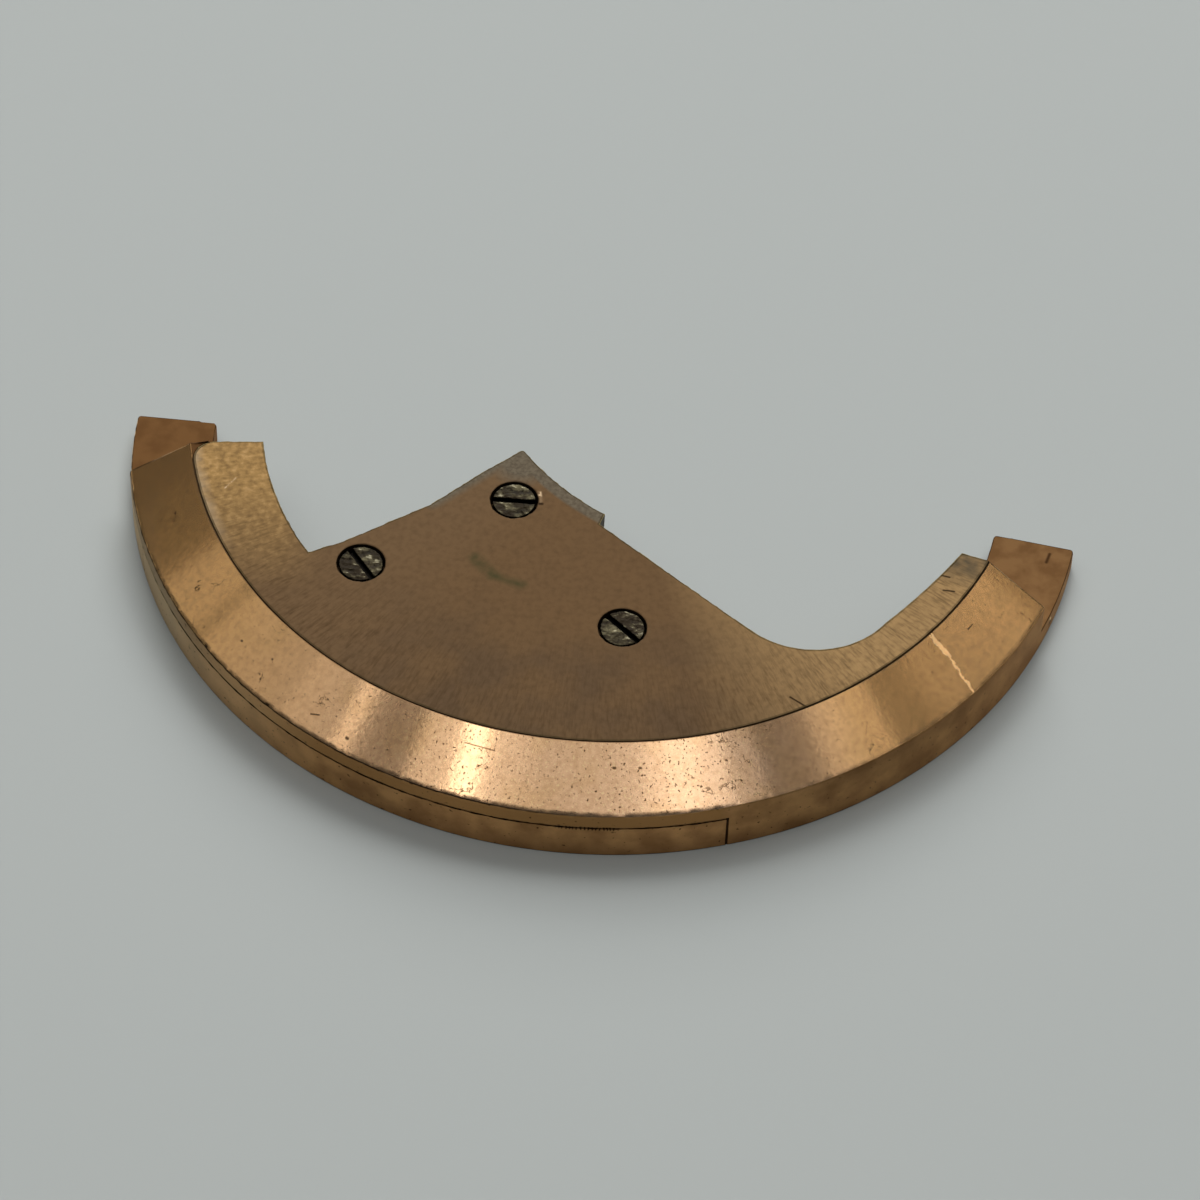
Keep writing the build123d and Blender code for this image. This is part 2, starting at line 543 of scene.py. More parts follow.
# Pale flecks in the middle of the bevel are painted glints.
glint_fleck = add(gilt, "MapRange", {"Value": speck, "From Min": 0.38, "From Max": 0.32, "To Max": 0.4})
glint_fleck = add(gilt, "Math", {0: glint_fleck, 1: worn}, operation="MULTIPLY")
colour = add(gilt, "Mix", {0: glint_fleck, 6: colour, 7: "#ffe3a8"})
curl = add(gilt, "TexNoise", {"Vector": turned, "Scale": 1 / 0.4, "Detail": 3.0}).node.outputs["Color"]
bent = add(gilt, "VectorMath", {0: curl, 1: (1.1, 1.1, 1.1), 2: turned}, operation="MULTIPLY_ADD")
cell = add(gilt, "TexVoronoi", {"Vector": bent, "Scale": 1 / 0.9}, feature="DISTANCE_TO_EDGE")
line = cell.node.outputs["Distance"]
limits = {"From Min": 0.006, "From Max": 0.014, "To Min": 1.0, "To Max": 0.0}
line = add(gilt, "MapRange", {"Value": line, **limits})
where = add(gilt, "TexNoise", {"Vector": turned, "Scale": 1 / 0.7, "Detail": 2.0})
where = add(gilt, "MapRange", {"Value": where, "From Min": 0.6, "From Max": 0.66})
hair_line = add(gilt, "Math", {0: line, 1: where}, operation="MULTIPLY")
mark = add(gilt, "Math", {0: pit, 1: hair_line}, operation="MAXIMUM")
knocks = (
    ((-3.382, -11.274, 2.312), (-2.612, -11.497, 2.30), 0.004, 0.02),
    ((0.44, -11.88, 2.243), (0.48, -11.88, 2.243), 0.02, 0.03),
    ((1.10, -11.85, 2.238), (1.14, -11.85, 2.238), 0.015, 0.03),
    ((-7.44, -10.14, 1.85), (-7.22, -10.20, 1.90), 0.01, 0.02),
    ((-9.39, -7.91, 2.02), (-9.37, -7.92, 2.02), 0.015, 0.025),
    ((-8.54, -8.57, 2.12), (-8.53, -8.59, 2.12), 0.012, 0.02),
    ((-6.46, -10.86, 1.815), (-6.44, -10.88, 1.815), 0.02, 0.03),
    ((-10.37, -7.79, 1.62), (-10.34, -7.83, 1.62), 0.03, 0.03),
    ((-8.63, -9.68, 1.62), (-8.59, -9.72, 1.62), 0.03, 0.03),
    ((9.64, -6.90, 2.27), (9.76, -6.74, 2.28), 0.008, 0.025),
    ((9.07, -7.47, 2.43), (9.12, -7.37, 2.43), 0.01, 0.025),
)
mark = scratches(gilt, place, knocks, mark)
colour = add(gilt, "Mix", {0: mark, 6: colour, 7: "#6b4f30"})
wobble = add(gilt, "TexNoise", {"Vector": place, "Scale": 1 / 0.2, "Detail": 3.0}).node.outputs["Color"]
wobble = add(gilt, "VectorMath", {0: wobble, 1: (0.5, 0.5, 0.5)}, operation="SUBTRACT")
jagged = add(gilt, "VectorMath", {0: wobble, 1: (0.28, 0.28, 0.28), 2: place}, operation="MULTIPLY_ADD")
# A jagged ridge on the right of the bevel: the bump raises it, and its pale colour is a painted highlight
# where it catches the light.
strokes = (
    ((8.63, -7.37, 2.55), (9.14, -7.78, 2.18), 0.02, 0.05),
    ((9.14, -7.78, 2.18), (9.80, -8.49, 1.63), 0.005, 0.05),
)
ridge_with_glint = scratches(gilt, jagged, strokes)
split = add(gilt, "MapRange", {"Value": mottle, "From Min": 0.44, "From Max": 0.56, "To Min": 0.3})
ridge_with_glint = add(gilt, "Math", {0: ridge_with_glint, 1: split}, operation="MULTIPLY")
colour = add(gilt, "Mix", {0: ridge_with_glint, 6: colour, 7: "#f6cf98"})
on_wall = add(gilt, "MapRange", {"Value": radius, "From Min": 12.97, "From Max": 12.985})
low = add(gilt, "MapRange", {"Value": height, "From Min": 1.6, "From Max": 1.5})
calm = add(gilt, "Math", {0: 1.0, 1: low}, operation="SUBTRACT")
# The ledge, the filling and the inner wall, under and beside the web, are painted darker as painted shade.
under_web_shaded = add(gilt, "MapRange", {"Value": radius, "From Min": 11.32, "From Max": 11.3})
under_web_shaded = add(gilt, "Math", {0: under_web_shaded, 1: calm}, operation="MULTIPLY")
dull = tinted(gilt, "#7e5b37", "#8a6843", arc, -4.0, 4.0)
blotch = add(gilt, "TexNoise", {"Vector": place, "Scale": 1 / 0.6, "Detail": 5.0})
dull = tinted(gilt, dull, "#6b4a2b", blotch, 0.42, 0.62, 0.6)
tick = scratch(gilt, place, (12.07, -2.80, 0.62), (11.97, -3.10, 0.62), 0.015, 0.05)
dull = add(gilt, "Mix", {0: tick, 6: dull, 7: "#4d351f"})
colour = add(gilt, "Mix", {0: low, 6: colour, 7: dull})
colour = add(gilt, "Mix", {0: under_web_shaded, 6: colour, 7: "#6b4c2e"})
wall = tarnished_wall(gilt, arc, height, turned)
colour = add(gilt, "Mix", {0: on_wall, 6: colour, 7: wall})
edge = add(gilt, "Attribute", attribute_name="rounding").node.outputs["Fac"]
# The rounded outer edge is darker, most to the left.
outer = add(gilt, "MapRange", {"Value": radius, "From Min": 12.0, "From Max": 12.4})
limits = {"From Min": -2.5, "From Max": 0.5, "To Min": 0.9, "To Max": 0.15}
darker_leftwards = add(gilt, "MapRange", {"Value": arc, **limits})
colour = tinted_where(gilt, colour, "#2e2216", edge, outer, darker_leftwards)
share = add(gilt, "Math", {0: edge, 1: low}, operation="MULTIPLY")
colour = add(gilt, "Mix", {0: share, 6: colour, 7: "#4e371f"})
joint = add(gilt, "Math", {0: height, 1: insert_height / mm}, operation="SUBTRACT")
joint = add(gilt, "Math", {0: joint}, operation="ABSOLUTE")
joint = add(gilt, "MapRange", {"Value": joint, "From Min": 0.06, "From Max": 0.045})
colour = tinted_where(gilt, colour, "#22180e", share, joint)
# A nick low on the right of the wall: a painted highlight on it, and below it a dark spot of painted shade.
wall_glint_and_shade = scratch(gilt, place, (12.03, -4.93, 0.47), (12.04, -4.90, 0.41), 0.03, 0.03)
colour = add(gilt, "Mix", {0: wall_glint_and_shade, 6: colour, 7: "#ffe6b0"})
wall_glint_and_shade = scratch(gilt, place, (12.05, -4.88, 0.30), (12.02, -4.95, 0.28), 0.03, 0.05)
colour = add(gilt, "Mix", {0: wall_glint_and_shade, 6: colour, 7: "#2e2216"})
inner = add(gilt, "MapRange", {"Value": radius, "From Min": 11.5, "From Max": 11.4})
lip = add(gilt, "MapRange", {"Value": radius, "From Min": 11.25, "From Max": 11.28})
packed = add(gilt, "Math", {0: inner, 1: lip}, operation="MULTIPLY")
packed = add(gilt, "Math", {0: packed, 1: edge}, operation="MULTIPLY")
filled = [(0.1, "#4a3722"), (0.22, "#a8835a"), (0.42, "#caa27a")]
filled += [(0.56, "#c09870"), (0.62, "#4a3722"), (1.0, "#3a2b1b")]
filled = add(gilt, "ValToRGB", {0: along}, filled)
colour = add(gilt, "Mix", {0: packed, 6: colour, 7: filled})
flat = add(gilt, "Math", {0: low, 1: on_wall}, operation="SUBTRACT")
flat = add(gilt, "Math", {0: flat, 1: under_web_shaded}, operation="MAXIMUM")
flat = add(gilt, "Math", {0: flat, 1: packed}, operation="MAXIMUM")
flat = add(gilt, "Math", {0: flat, 1: ridge_with_glint}, operation="MAXIMUM")
flat = add(gilt, "MapRange", {"Value": flat, "To Min": 0.19, "To Max": 0.8})
rough = add(gilt, "MapRange", {"Value": on_wall, "To Min": 0.19, "To Max": 0.48})
rough = add(gilt, "Math", {0: rough, 1: flat}, operation="MAXIMUM")
peel = add(gilt, "TexNoise", {"Vector": turned, "Scale": 1 / 0.11, "Detail": 2.0})
peel = add(gilt, "Math", {0: peel, 1: calm}, operation="MULTIPLY")
relief = add(gilt, "Math", {0: mark, 1: -1.0, 2: peel}, operation="MULTIPLY_ADD")
relief = add(gilt, "Math", {0: ridge_with_glint, 1: 4.0, 2: relief}, operation="MULTIPLY_ADD")
bump = add(gilt, "Bump", {"Strength": 1.0, "Distance": 0.001 * mm, "Height": relief})
close_lined(gilt, colour, rough, place, bump)
hand_over(rim, "rim_weight", gilt)

# Rim insert
# An arc of the same alloy let into the underside of the rim and turned flush with it, so that only a
# thin dirty joint line shows on the outer wall, with an upright joint at its right end.
insert_rounding = 0.03 * mm
thin_wear_size = 0.2 * mm
insert = start_profile("rim_insert_gilt", rim_inner_radius, swing_radius, insert_height, insert_start)
cut_rows((0, insert_height), (rim_inner_radius, swing_radius), insert_start)
bpy.ops.mesh.select_all(action="SELECT")
spin(insert_end - insert_start)
tidy_shell()
round_edges(insert, insert_rounding)
wear_edges(insert, thin_wear_size)
smooth(insert)

# Turned copper gilding: the wall's brown tarnish, with dirt packed in the joint line.
gilt = new_finish("turned_copper_gilding")
place, radius, arc, height, turned = measure(gilt)
colour = tarnished_wall(gilt, arc, height, turned)
edge = add(gilt, "Attribute", attribute_name="rounding").node.outputs["Fac"]
colour = add(gilt, "Mix", {0: edge, 6: colour, 7: "#22180e"})
wander = add(gilt, "TexNoise", {"Vector": turned, "Scale": 1 / 0.2, "Detail": 1.0})
bead = add(gilt, "Math", {0: wander, 1: 0.15, 2: arc}, operation="MULTIPLY_ADD")
bead = add(gilt, "Math", {0: bead, 1: 2 * math.pi / 0.09}, operation="MULTIPLY")
bead = add(gilt, "Math", {0: bead}, operation="SINE")
bead = add(gilt, "MapRange", {"Value": bead, "From Min": 0.1, "From Max": 0.4})
upper = add(gilt, "MapRange", {"Value": height, "From Min": 1.035, "From Max": 1.05})
span = add(gilt, "Math", {0: arc, 1: 0.15}, operation="ADD")
span = add(gilt, "Math", {0: span}, operation="ABSOLUTE")
span = add(gilt, "MapRange", {"Value": span, "From Min": 0.85, "From Max": 0.6, "To Max": 0.95})
colour = tinted_where(gilt, colour, "#3a2815", bead, upper, span)
grain = add(gilt, "TexNoise", {"Vector": turned, "Scale": 1 / 0.1, "Detail": 2.0})
bump = add(gilt, "Bump", {"Strength": 1.0, "Distance": 0.002 * mm, "Height": grain})
close_lined(gilt, colour, 0.48, place, bump)
hand_over(insert, "rim_insert", gilt)

# Web plate
# A thin plate of gilt copper, pierced and filed to shape, brushed in line with the radius and screwed to
# the backing plate. Its arms lie on the ledge of the rim, and its wedge once reached towards the hub.


def spot(x, y):
    """Point in the flat, given in mm."""
    return Vector((x, y, 0)) * mm


web_thickness = 0.55 * mm
web_radius = 11.295 * mm
left_arm_radius = 9.37 * mm
left_arm_angle = 187.5
left_arm_middle_angle = 201.0
left_arm_inner = spot(-9.25, -1.39)
left_arm_corner = 0.6 * mm
left_bay_notch = spot(-7.79, -5.23)
left_edge_bends = [spot(-6.89, -4.81), spot(-4.67, -3.44), spot(-3.22, -2.14)]
web_tip = spot(-2.245, -1.365)
hub_relief_middle = spot(-1.36, -2.455)
step_high = spot(0.02, -3.575)
step_low = spot(-0.11, -3.94)
right_bay_center = spot(5.5, -5.6)
right_bay_radius = 2.4 * mm
right_edge_slope = -40.4
right_arm_slope = 53.0
right_arm_middle = spot(8.53, -5.80)
right_arm_inner = spot(9.5, -4.52)
right_arm_angle = 335.0
web_screws = {
    "left_screw": (spot(-6.387, -5.563), -56.0),
    "tip_screw": (spot(-2.429, -3.193), -3.0),
    "right_screw": (spot(0.561, -7.480), -45.0),
}
counterbore_radius = 0.625 * mm
counterbore_depth = 0.35 * mm
screw_hole_radius = 0.4 * mm
web_rounding = 0.025 * mm
web_tip_rounding = 0.1 * mm
border_reach = 0.1 * mm
clear_of_screw = 0.8 * mm
smallest_edge = 0.005 * mm
flat_angle = math.radians(1)
upward = 0.8
outline_pitch = 0.08 * mm
finest_turn = math.radians(15)
overlap = 0.1 * mm


def pen(piece):
    """Place of the one selected vertex, where the outline has got to."""
    return next(v.co.copy() for v in bmesh.from_edit_mesh(piece.data).verts if v.select)


def line_to(piece, end):
    """Draws a straight stretch of outline in short steps."""
    way = end - pen(piece)
    steps = max(1, round(way.length / outline_pitch))
    for _ in range(steps):
        bpy.ops.mesh.extrude_vertices_move(TRANSFORM_OT_translate={"value": way / steps})


def arc_to(piece, center, end):
    """Draws a round stretch of outline about a centre, the shorter way to the end."""
    start = (pen(piece) - center).to_2d()
    turn = start.angle_signed((end - center).to_2d())
    steps = max(2, round(abs(turn) * start.length / outline_pitch), math.ceil(abs(turn) / finest_turn))
    bpy.ops.mesh.spin(steps=steps, angle=turn, center=center, axis=(0, 0, 1), use_auto_merge=False)


def arc_center(first, second, third):
    """Centre of the circle through three points."""
    a, b = second - first, third - first
    across = 2 * (a.x * b.y - a.y * b.x)
    x = (b.y * a.length_squared - a.y * b.length_squared) / across
    y = (a.x * b.length_squared - b.x * a.length_squared) / across
    return first + Vector((x, y, 0))


def corner_rounding(corner, way, inward, radius, center, distance):
    """Centre of a corner's rounding, between an edge along a way and an arc about a centre."""
    beside = corner + inward * radius - center
    reach = beside.dot(way)
    root = math.sqrt(reach * reach - beside.length_squared + distance * distance)
    places = [center + beside + way * (sense * root - reach) for sense in (-1, 1)]
    return min(places, key=lambda place: (place - corner).length)


swing_axis = Vector((0, 0, 0))
web_corner = polar(web_radius, left_arm_angle)
end_edge = (left_arm_inner - web_corner).normalized()
into_arm = Vector((-end_edge.y, end_edge.x, 0))
if into_arm.dot(polar(1, left_arm_angle + 90)) < 0:
    into_arm = -into_arm
corner_center = corner_rounding(
    web_corner, end_edge, into_arm, left_arm_corner, swing_axis, web_radius - left_arm_corner
)
corner_start = corner_center.normalized() * web_radius
corner_end = corner_center - into_arm * left_arm_corner
relief_center = arc_center(web_tip, hub_relief_middle, step_high)
relief_radius = (web_tip - relief_center).length
tip_edge = (left_edge_bends[-1] - web_tip).normalized()
into_tip = Vector((tip_edge.y, -tip_edge.x, 0))
if into_tip.dot(step_high - web_tip) < 0:
    into_tip = -into_tip
tip_center = corner_rounding(
    web_tip, tip_edge, into_tip, web_tip_rounding, relief_center, relief_radius + web_tip_rounding
)
tip_start = tip_center - into_tip * web_tip_rounding
tip_end = relief_center + (tip_center - relief_center).normalized() * relief_radius
half_arm = polar(left_arm_radius, left_arm_middle_angle)
bay_left = right_bay_center + polar(right_bay_radius, right_edge_slope - 90)
bay_right = right_bay_center + polar(right_bay_radius, right_arm_slope - 90)
web_start = polar(web_radius, right_arm_angle)

bpy.ops.object.select_all(action="DESELECT")
bpy.ops.mesh.primitive_plane_add(size=outline_pitch, location=web_start)
web = bpy.context.object
web.name = web.data.name = "web_plate_gilt"
bpy.ops.object.transform_apply(location=True)
bpy.ops.object.mode_set(mode="EDIT")
bpy.ops.mesh.select_mode(type="VERT")
bpy.ops.mesh.select_all(action="SELECT")
bpy.ops.mesh.merge(type="CENTER")
bpy.ops.mesh.select_all(action="SELECT")
outer_middle = polar(web_radius, (left_arm_angle + right_arm_angle) / 2)
arc_to(web, swing_axis, outer_middle)
arc_to(web, swing_axis, corner_start)
arc_to(web, corner_center, corner_end)
line_to(web, left_arm_inner)
arc_to(web, arc_center(left_arm_inner, half_arm, left_bay_notch), left_bay_notch)
for bend in left_edge_bends:
    line_to(web, bend)
line_to(web, tip_start)
arc_to(web, tip_center, tip_end)
arc_to(web, relief_center, step_high)
line_to(web, step_low)
line_to(web, bay_left)
arc_to(web, right_bay_center, bay_right)
arc_to(web, arc_center(bay_right, right_arm_middle, right_arm_inner), right_arm_inner)
line_to(web, web_start)
bpy.ops.mesh.select_all(action="SELECT")
bpy.ops.mesh.remove_doubles(threshold=hair)
bpy.ops.mesh.edge_face_add()
bpy.ops.transform.translate(value=(0, 0, ledge_height))
bpy.ops.mesh.extrude_region_move(TRANSFORM_OT_translate={"value": (0, 0, web_thickness)})
tidy_shell()


def drill(piece, radius, bottom, top):
    """Cuts a round hole at each screw's place."""
    bpy.ops.object.select_all(action="DESELECT")
    for center, _ in web_screws.values():
        bpy.ops.mesh.primitive_cylinder_add(
            vertices=round_sides,
            radius=radius,
            depth=top - bottom,
            location=center + Vector((0, 0, (top + bottom) / 2)),
        )
        if center is web_screws["left_screw"][0]:
            drills = bpy.context.object
            bpy.ops.object.transform_apply(location=True)
            bpy.ops.object.mode_set(mode="EDIT")
    bpy.ops.object.mode_set(mode="OBJECT")
    apply(piece, "BOOLEAN", operation="DIFFERENCE", solver="EXACT", object=drills)
    bpy.data.objects.remove(drills)


drill(web, screw_hole_radius, ledge_height - overlap, rim_height + overlap)
drill(web, counterbore_radius, rim_height - counterbore_depth, rim_height + overlap)
bpy.ops.object.mode_set(mode="EDIT")
pick(web, "FACE", lambda face: face.normal.z > 0.999 and face.calc_center_median().z > rim_height - hair)
bpy.ops.mesh.dissolve_limited(angle_limit=flat_angle)
bpy.ops.mesh.inset(thickness=row_margin, depth=0, use_boundary=True)
bpy.ops.mesh.select_all(action="SELECT")
bpy.ops.mesh.remove_doubles(threshold=smallest_edge)
tidy_shell()
round_edges(web, web_rounding)
wear_edges(web, thin_wear_size)
for vertex in web.data.vertices:
    vertex.co.z = min(vertex.co.z, rim_height)
for name in ("border", "outline"):
    web.data.attributes.new(name, "FLOAT", "CORNER")
rounding, border, outline = (web.data.attributes[name] for name in ("rounding", "border", "outline"))
for face in web.data.polygons:
    clear = min((face.center - center).to_2d().length for center, _ in web_screws.values())
    reach = max((web.data.vertices[number].co - face.center).length for number in face.vertices)
    on_top = face.normal.z > upward and face.center.z > rim_height - web_rounding and reach < border_reach
    if clear > clear_of_screw:
        for corner in face.loop_indices:
            outline.data[corner].value = rounding.data[corner].value
            border.data[corner].value = 1.0 if on_top else 0.0
smooth(web)


# Brushed copper gilding: handling has rubbed the middle brown and left the arms golden, and the left arm is
# painted lighter still, with painted glints and shade on its grain. Strokes of a wire brush, about 0.07 mm
# wide, run along the radius beside the rim. The tip and the border where the hub once stood are grey-green.
gilt = new_finish("brushed_copper_gilding")
place, radius, arc, height, turned = measure(gilt)
x, y = add(gilt, "SeparateXYZ", {0: place}).node.outputs[:2]
patch = add(gilt, "TexNoise", {"Vector": place, "Scale": 1 / 1.4, "Detail": 4.0})
colour = tinted(gilt, "#5e4932", "#554330", patch, 0.38, 0.62)
colour = tinted(gilt, colour, "#5f4931", radius, 9.0, 7.2, 0.85)
colour = tinted(gilt, colour, "#614c35", arc, -5.5, -10.0)
colour = tinted(gilt, colour, "#8e734e", arc, 3.0, 8.0)
# The left arm is painted lighter: partly its golden colour, partly painted light for the light its rough
# grain catches.
down = add(gilt, "MapRange", {"Value": y, "From Min": -6.6, "From Max": -2.6})
across = add(gilt, "MapRange", {"Value": x, "From Min": -7.4, "From Max": -8.6})
left = add(gilt, "Math", {0: down, 1: across}, operation="MULTIPLY")
colour = add(gilt, "Mix", {0: left, 6: colour, 7: "#937549"})
mottle = add(gilt, "TexNoise", {"Vector": place, "Scale": 1 / 0.17, "Detail": 3.0})
colour = tinted(gilt, colour, "#3a2c1c", mottle, 0.42, 0.75, 0.28)
# Painted glints and painted shade on the grain of the left arm.
share = add(gilt, "MapRange", {"Value": mottle, "From Min": 0.46, "From Max": 0.3, "To Max": 0.4})
colour = tinted_where(gilt, colour, "#b29366", share, left)
share = add(gilt, "MapRange", {"Value": mottle, "From Min": 0.52, "From Max": 0.66, "To Max": 0.32})
colour = tinted_where(gilt, colour, "#5b432a", share, left)
drawn = add(gilt, "VectorMath", {0: turned, 1: (0.2, 1.0, 1.0)}, operation="MULTIPLY")
stroke = add(gilt, "TexNoise", {"Vector": drawn, "Scale": 1 / 0.075, "Detail": 3.0})
outside = add(gilt, "MapRange", {"Value": radius, "From Min": 7.6, "From Max": 10.6, "To Min": 0.1})
sides = add(gilt, "Math", {0: arc}, operation="ABSOLUTE")
sides = add(gilt, "MapRange", {"Value": sides, "From Min": 2.0, "From Max": 7.0, "To Min": 0.8})
outside = add(gilt, "Math", {0: outside, 1: sides}, operation="MULTIPLY")
plain = add(gilt, "MapRange", {"Value": left, "To Min": 1.0, "To Max": 0.5})
outside = add(gilt, "Math", {0: outside, 1: plain}, operation="MULTIPLY")
dark = add(gilt, "MapRange", {"Value": stroke, "From Min": 0.45, "From Max": 0.75, "To Max": 0.55})
colour = tinted_where(gilt, colour, "#3d2d1b", dark, outside)
worn_end = scratch(gilt, place, (9.3, -4.4, 2.58), (10.4, -4.9, 2.58), 0.3, 0.9)
ragged = add(gilt, "TexNoise", {"Vector": place, "Scale": 1 / 0.35, "Detail": 4.0})
ragged = add(gilt, "MapRange", {"Value": ragged, "From Min": 0.35, "From Max": 0.65, "To Min": 0.4})
colour = tinted_where(gilt, colour, "#4a4234", worn_end, ragged)
hub_gap = add(gilt, "VectorMath", {0: place, 1: (*(relief_center / mm).xy, 2.58)}, operation="DISTANCE")
hub_gap = hub_gap.node.outputs["Value"]
hub_side = relief_radius / mm + 0.34
lip = add(gilt, "MapRange", {"Value": hub_gap, "From Min": hub_side + 0.08, "From Max": hub_side})
tip = scratch(gilt, place, (-2.3, -1.45, 2.58), (-2.25, -1.75, 2.58), 0.55, 0.5)
left_strip = scratch(gilt, place, (-4.6, -3.38, 2.58), (-2.5, -1.6, 2.58), 0.08, 0.22)
olive = add(gilt, "Math", {0: lip, 1: tip}, operation="MAXIMUM")
olive = add(gilt, "Math", {0: olive, 1: left_strip}, operation="MAXIMUM")
fine = add(gilt, "TexNoise", {"Vector": place, "Scale": 1 / 0.09, "Detail": 3.0})
fine = add(gilt, "MapRange", {"Value": fine, "From Min": 0.35, "From Max": 0.65})
verdigris = add(gilt, "Mix", {0: fine, 6: "#50473a", 7: "#605748"})
colour = add(gilt, "Mix", {0: olive, 6: colour, 7: verdigris})
strokes = (
    ((-3.38, -5.27, 2.58), (-2.92, -5.82, 2.58), 0.05, 0.22),
    ((-2.92, -5.82, 2.58), (-2.12, -6.16, 2.58), 0.02, 0.2),
)
colour = tinted_where(gilt, colour, "#3f3a24", scratches(gilt, place, strokes), ragged)
gouges = (
    ((4.95, -9.63, 2.58), (5.46, -10.0, 2.58), 0.01, 0.03),
    ((8.66, -5.26, 2.58), (9.16, -5.40, 2.58), 0.01, 0.03),
    ((8.99, -5.85, 2.58), (9.27, -5.88, 2.58), 0.01, 0.03),
    ((-1.74, -3.31, 2.58), (-1.68, -3.31, 2.58), 0.02, 0.04),
)
colour = add(gilt, "Mix", {0: scratches(gilt, place, gouges), 6: colour, 7: "#2c1f12"})
# A nick on the left arm and a burr beside the tip screw are painted light, as painted highlights.
nick_glint = scratch(gilt, place, (-9.9, -2.76, 2.58), (-10.16, -3.12, 2.58), 0.005, 0.025)
painted_glints = add(gilt, "Math", {0: nick_glint, 1: fine}, operation="MULTIPLY")
burr_glint = scratch(gilt, place, (-1.76, -2.9, 2.58), (-1.72, -3.2, 2.58), 0.02, 0.05)
split = add(gilt, "MapRange", {"Value": mottle, "From Min": 0.42, "From Max": 0.52, "To Min": 0.15})
burr_glint = add(gilt, "Math", {0: burr_glint, 1: split}, operation="MULTIPLY")
painted_glints = add(gilt, "Math", {0: painted_glints, 1: burr_glint}, operation="MAXIMUM")
colour = add(gilt, "Mix", {0: painted_glints, 6: colour, 7: "#b39b7c"})
rubbed = add(gilt, "MapRange", {"Value": radius, "From Min": 10.95, "From Max": 11.2, "To Max": 0.6})
share = add(gilt, "MapRange", {"Value": arc, "From Min": -12.8, "From Max": -14.5})
colour = tinted_where(gilt, colour, "#97866e", rubbed, share, ragged)
border = add(gilt, "Attribute", attribute_name="border").node.outputs["Fac"]
colour = tinted_where(gilt, colour, "#392f1b", border, ragged, 0.8)
edge = add(gilt, "Attribute", attribute_name="rounding").node.outputs["Fac"]
limits = {"From Min": -15.5, "From Max": -12.0, "To Min": 0.2, "To Max": 0.8}
seam = add(gilt, "MapRange", {"Value": arc, **limits})
inside = add(gilt, "MapRange", {"Value": radius, "From Min": 11.2, "From Max": 11.1})
share = add(gilt, "Math", {0: seam, 1: inside}, operation="MAXIMUM")
colour = tinted_where(gilt, colour, "#2e2316", share, edge)
# The inner rounded edges are painted a light olive: a painted reflection of the light behind the part.
outline = add(gilt, "Attribute", attribute_name="outline").node.outputs["Fac"]
colour = tinted_where(gilt, colour, "#8f8056", inside, outline)
dent = add(gilt, "Math", {0: mottle, 1: 1.6}, operation="MULTIPLY")
dent = add(gilt, "Math", {0: dent, 1: left}, operation="MULTIPLY")
relief = add(gilt, "Math", {0: stroke, 1: outside, 2: dent}, operation="MULTIPLY_ADD")
bump = add(gilt, "Bump", {"Strength": 1.0, "Distance": 0.006 * mm, "Height": relief})
close_lined(gilt, colour, 0.6, place, bump, drawn=0.3, turn=0.0)
hand_over(web, "web_plate", gilt)

# Backing plate
# A three-lobed piece of ground steel under the web, tapped for the screws. It clamps the arm of the hub,
# and from above only the web's holes give a glimpse of it.
backing_thickness = 0.75 * mm
backing_lug_radius = 0.85 * mm
backing_rounding = 0.03 * mm
tapped_hole_radius = 0.36 * mm
backing_bottom = ledge_height - backing_thickness
bpy.ops.object.select_all(action="DESELECT")
for name, (center, _) in web_screws.items():
    bpy.ops.mesh.primitive_cylinder_add(
        vertices=round_sides,
        radius=backing_lug_radius,
        depth=backing_thickness,
        location=center + Vector((0, 0, backing_bottom + backing_thickness / 2)),
    )
    if name == "left_screw":
        backing = bpy.context.object
        backing.name = backing.data.name = "backing_plate_steel"
        bpy.ops.object.transform_apply(location=True)
        bpy.ops.object.mode_set(mode="EDIT")
bpy.ops.mesh.select_all(action="SELECT")
bpy.ops.mesh.convex_hull()
tidy_shell()
drill(backing, tapped_hole_radius, backing_bottom - overlap, ledge_height + overlap)
round_edges(backing, backing_rounding)
smooth(backing)

# Ground steel: straight lines of a fine stone, 0.05 mm apart.
steel = new_finish("ground_steel")
place = place_in_mm(steel)
drawn = add(steel, "VectorMath", {0: place, 1: (0.05, 1.0, 1.0)}, operation="MULTIPLY")
stroke = add(steel, "TexNoise", {"Vector": drawn, "Scale": 1 / 0.05, "Detail": 2.0})
colour = add(steel, "Mix", {0: stroke, 6: "#8f8b84", 7: "#6d6962"})
bump = add(steel, "Bump", {"Strength": 0.5, "Distance": 0.004 * mm, "Height": stroke})
close_finish(steel, Base_Color=colour, Metallic=1.0, Roughness=0.42, Normal=bump)
hand_over(backing, "backing_plate", steel)

# Screws
# Three slotted cheese-head screws of hardened steel, gone dark, sit flush in the counterbores of the web.
# Slipping screwdrivers have burred the slots and scored the heads.
head_radius = 0.58 * mm
head_height = 0.33 * mm
head_rounding = 0.02 * mm
slot_width = 0.14 * mm
slot_depth = 0.16 * mm
thread_radius = 0.35 * mm
thread_sides = 72
head_angle = math.radians(40)
burr_size = 0.12 * mm
burr_height = 0.04 * mm
burr_reach = 0.1 * mm
head_bottom = rim_height - counterbore_depth
head_top = head_bottom + head_height
head_cell = 0.03 * mm
bpy.ops.object.select_all(action="DESELECT")
bpy.ops.mesh.primitive_cylinder_add(
    vertices=thread_sides,
    radius=thread_radius,
    depth=head_top - backing_bottom,
    location=(0, 0, (head_top + backing_bottom) / 2),
)
screw = bpy.context.object
bpy.ops.object.transform_apply(location=True)
bpy.ops.object.mode_set(mode="EDIT")
